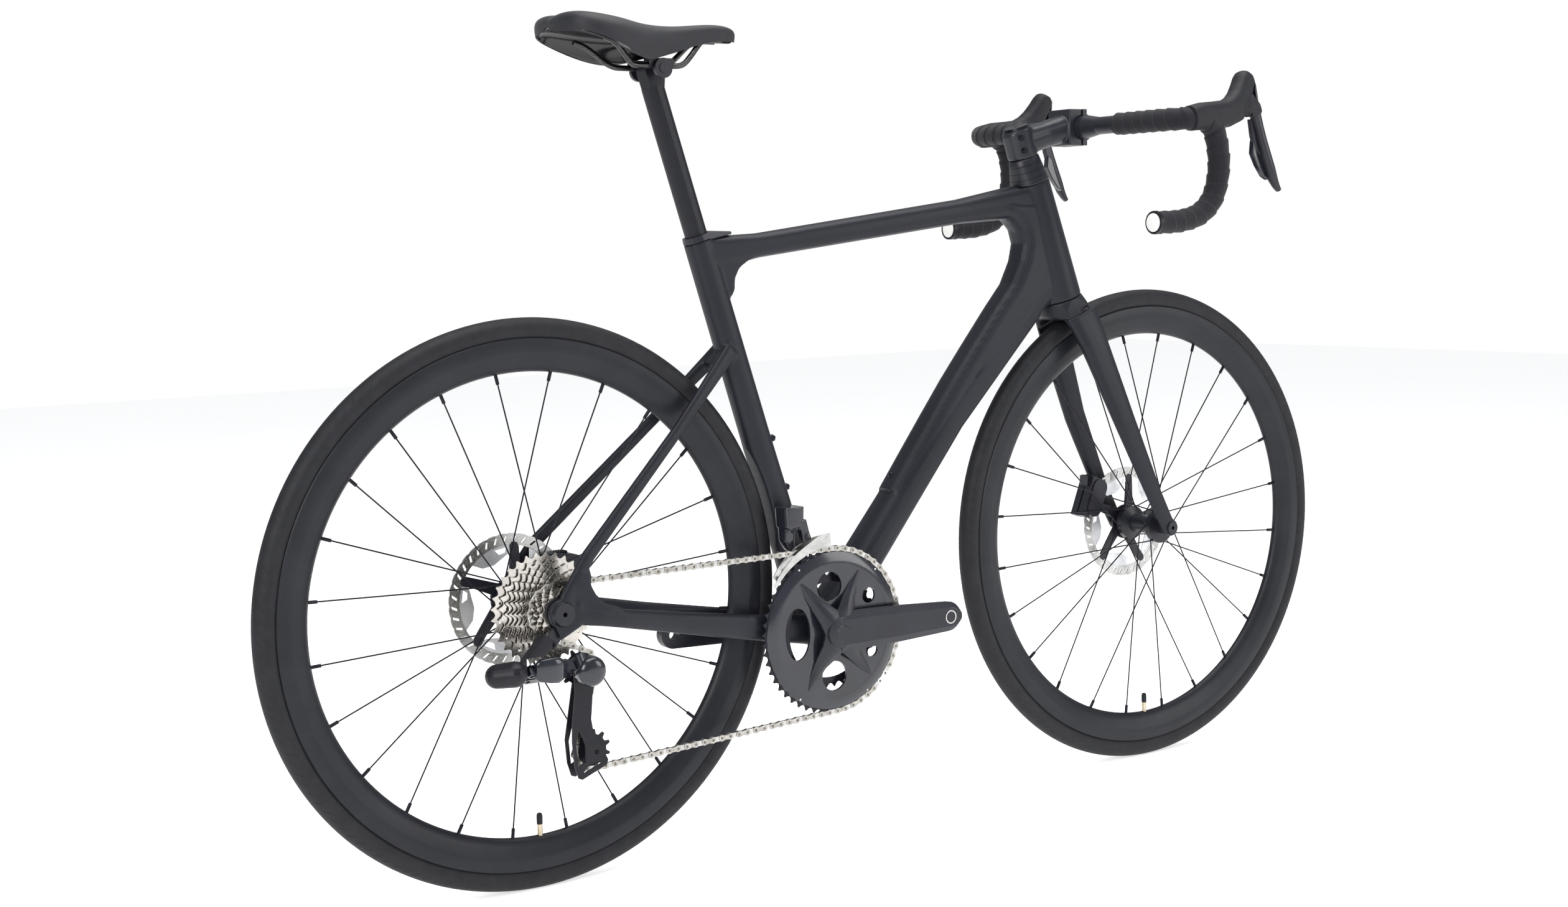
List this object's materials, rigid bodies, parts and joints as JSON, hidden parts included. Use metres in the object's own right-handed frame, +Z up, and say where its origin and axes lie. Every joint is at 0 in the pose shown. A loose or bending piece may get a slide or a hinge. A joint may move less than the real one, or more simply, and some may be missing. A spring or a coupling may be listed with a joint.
{
  "type": "road bicycle",
  "caption": "Drop-bar road bicycle with a carbon frame, deep rims, disc brakes, geared crank drive, levers and a narrow saddle.",
  "frame": {"origin": "on the ground midway between the two wheels, on the centre plane", "axes": "+X forward, +Y to the rider's left, +Z up"},
  "size_m": [1.672, 0.457, 1.034],
  "materials": {
    "frame_carbon": "satin matte painted carbon fibre",
    "bearing_steel": "ground steel",
    "hanger_alloy": "black anodised",
    "black_anodised": "satin black anodised",
    "brake_alloy": "semi gloss black",
    "gloss_body": "gloss dark grey",
    "black_steel": "black coated",
    "post_carbon": "satin carbon fibre",
    "chain_steel": "plated",
    "stem_alloy": "satin black",
    "bar_tape": "matte wrapped tape",
    "plug_white": "satin",
    "hood_rubber": "matte textured rubber",
    "tyre_rubber": "matte slick tread",
    "rim_carbon": "matte carbon fibre",
    "rotor_steel": "brushed",
    "sprocket_steel": "nickel plated",
    "crank_alloy": "satin dark grey",
    "ring_black": "gloss black",
    "lever_blade": "satin black",
    "shift_paddle": "satin grey",
    "cage_black": "satin",
    "cage_silver": "brushed",
    "saddle_cover": "matte synthetic cover"
  },
  "bodies": {
    "frame": {"head_tube": "frame_carbon", "top_tube": "frame_carbon", "seat_tube": "frame_carbon", "down_tube": "frame_carbon", "bottom_bracket_shell": "frame_carbon", "chainstays": "frame_carbon", "seatstays": "frame_carbon", "headset_bearings": "bearing_steel", "bottom_bracket_bearings": "bearing_steel", "derailleur_hanger": "hanger_alloy", "rear_axle": "black_anodised", "rear_caliper": "brake_alloy", "front_derailleur_body": "gloss_body", "rear_derailleur_mount": "gloss_body", "frame_bolts": "black_steel", "seatpost_clamp": "post_carbon", "chain": "chain_steel"},
    "steering": {"fork_steerer": "frame_carbon", "fork_blades": "frame_carbon", "headset_spacers": "black_anodised", "stem": "stem_alloy", "stem_faceplate": "stem_alloy", "stem_bolts": "black_steel", "handlebar": "stem_alloy", "bar_tape": "bar_tape", "bar_end_plugs": "plug_white", "lever_hoods": "hood_rubber", "front_caliper": "brake_alloy", "front_axle": "black_anodised"},
    "front_wheel": {"front_tyre": "tyre_rubber", "front_rim": "rim_carbon", "front_spokes": "black_steel", "front_hub": "black_anodised", "front_rotor": "rotor_steel"},
    "rear_wheel": {"rear_tyre": "tyre_rubber", "rear_rim": "rim_carbon", "rear_spokes": "black_steel", "rear_hub": "black_anodised", "rear_rotor": "rotor_steel"},
    "sprockets": {"cassette": "sprocket_steel", "freehub": "black_anodised"},
    "crankset": {"crank_right": "crank_alloy", "chainrings": "ring_black", "crank_left": "crank_alloy"},
    "lever_right": {"brake_lever_right": "lever_blade"},
    "lever_left": {"brake_lever_left": "lever_blade"},
    "upshift_button_right": {"upshift_right": "shift_paddle"},
    "downshift_button_right": {"downshift_right": "shift_paddle"},
    "upshift_button_left": {"upshift_left": "shift_paddle"},
    "downshift_button_left": {"downshift_left": "shift_paddle"},
    "outer_link": {"derailleur_outer_link": "gloss_body"},
    "inner_link": {"derailleur_inner_link": "gloss_body"},
    "knuckle": {"derailleur_knuckle": "gloss_body"},
    "cage": {"derailleur_cage": "cage_black"},
    "upper_pulley": {"guide_pulley": "cage_black"},
    "lower_pulley": {"tension_pulley": "cage_black"},
    "front_cage": {"front_derailleur_cage": "cage_silver"},
    "post": {"seatpost": "post_carbon"},
    "clamp": {"saddle_clamp": "black_anodised"},
    "seat": {"saddle": "saddle_cover"}
  },
  "joints": [
    {"name": "steering", "type": "hinge", "parent": "frame", "child": "steering", "pos_m": [0.28851, 0, 0.833], "axis": [-0.2974, 0, 0.9548], "range_deg": [-65, 65]},
    {"name": "front_wheel_spin", "type": "hinge", "parent": "steering", "child": "front_wheel", "pos_m": [0.496, 0, 0.34], "axis": [0, 1, 0], "continuous": true},
    {"name": "rear_wheel_spin", "type": "hinge", "parent": "frame", "child": "rear_wheel", "pos_m": [-0.496, 0, 0.34], "axis": [0, 1, 0], "continuous": true},
    {"name": "crank_spin", "type": "hinge", "parent": "frame", "child": "crankset", "pos_m": [-0.09578, 0, 0.266], "axis": [0, 1, 0], "continuous": true, "deforming": ["chain"]},
    {"name": "sprocket_spin", "type": "hinge", "parent": "frame", "child": "sprockets", "pos_m": [-0.496, 0, 0.34], "axis": [0, 1, 0], "continuous": true},
    {"name": "brake_lever_right", "type": "hinge", "parent": "steering", "child": "lever_right", "pos_m": [0.49935, -0.212, 0.92647], "axis": [0, 1, 0], "range_deg": [0, 18], "stiffness_Nm_per_rad": 0.9, "springref_deg": -20.05},
    {"name": "brake_lever_left", "type": "hinge", "parent": "steering", "child": "lever_left", "pos_m": [0.49935, 0.212, 0.92647], "axis": [0, 1, 0], "range_deg": [0, 18], "stiffness_Nm_per_rad": 0.9, "springref_deg": -20.05},
    {"name": "upshift_button_right", "type": "slide", "parent": "lever_right", "child": "upshift_button_right", "axis": [0, 1, 0], "range_m": [0, 0.0015], "stiffness_N_per_m": 900, "springref_m": -0.0008},
    {"name": "downshift_button_right", "type": "slide", "parent": "lever_right", "child": "downshift_button_right", "axis": [0, 1, 0], "range_m": [0, 0.0015], "stiffness_N_per_m": 900, "springref_m": -0.0008},
    {"name": "upshift_button_left", "type": "slide", "parent": "lever_left", "child": "upshift_button_left", "axis": [0, -1, 0], "range_m": [0, 0.0015], "stiffness_N_per_m": 900, "springref_m": -0.0008},
    {"name": "downshift_button_left", "type": "slide", "parent": "lever_left", "child": "downshift_button_left", "axis": [0, -1, 0], "range_m": [0, 0.0015], "stiffness_N_per_m": 900, "springref_m": -0.0008},
    {"name": "rear_shift", "type": "hinge", "parent": "frame", "child": "outer_link", "pos_m": [-0.541, -0.0795, 0.279], "axis": [0, 0.6157, 0.788], "range_deg": [-19, 33], "deforming": ["chain"]},
    {"name": "inner_link_swing", "type": "hinge", "parent": "frame", "child": "inner_link", "pos_m": [-0.541, -0.06926, 0.271], "axis": [0, 0.6157, 0.788], "range_deg": [-19, 33]},
    {"name": "knuckle_swing", "type": "hinge", "parent": "outer_link", "child": "knuckle", "pos_m": [-0.489, -0.0795, 0.279], "axis": [0, 0.6157, 0.788], "range_deg": [-33, 19]},
    {"name": "cage_swing", "type": "hinge", "parent": "knuckle", "child": "cage", "pos_m": [-0.463, -0.0525, 0.268], "axis": [0, 1, 0], "range_deg": [-12, 20], "stiffness_Nm_per_rad": 1.2, "deforming": ["chain"]},
    {"name": "guide_pulley_spin", "type": "hinge", "parent": "cage", "child": "upper_pulley", "pos_m": [-0.463, -0.0525, 0.268], "axis": [0, 1, 0], "continuous": true},
    {"name": "tension_pulley_spin", "type": "hinge", "parent": "cage", "child": "lower_pulley", "pos_m": [-0.451, -0.0525, 0.169], "axis": [0, 1, 0], "continuous": true},
    {"name": "front_shift", "type": "slide", "parent": "frame", "child": "front_cage", "axis": [0, 1, 0], "range_m": [0, 0.007], "deforming": ["chain"]},
    {"name": "seatpost_height", "type": "slide", "parent": "frame", "child": "post", "axis": [-0.2974, 0, 0.9548], "range_m": [-0.02, 0.03]},
    {"name": "saddle_tilt", "type": "hinge", "parent": "post", "child": "clamp", "pos_m": [-0.31056, 0, 0.97], "axis": [0, 1, 0], "range_deg": [-6, 6]},
    {"name": "saddle_setback", "type": "slide", "parent": "clamp", "child": "seat", "axis": [1, 0, 0], "range_m": [-0.01, 0.01]}
  ],
  "couplings": [
    {"joint": "sprocket_spin", "follows": "crank_spin", "ratio": 3.4667},
    {"joint": "guide_pulley_spin", "follows": "crank_spin", "ratio": -4.7273},
    {"joint": "tension_pulley_spin", "follows": "crank_spin", "ratio": 4.7273},
    {"joint": "inner_link_swing", "follows": "rear_shift", "ratio": 1},
    {"joint": "knuckle_swing", "follows": "rear_shift", "ratio": -1}
  ]
}
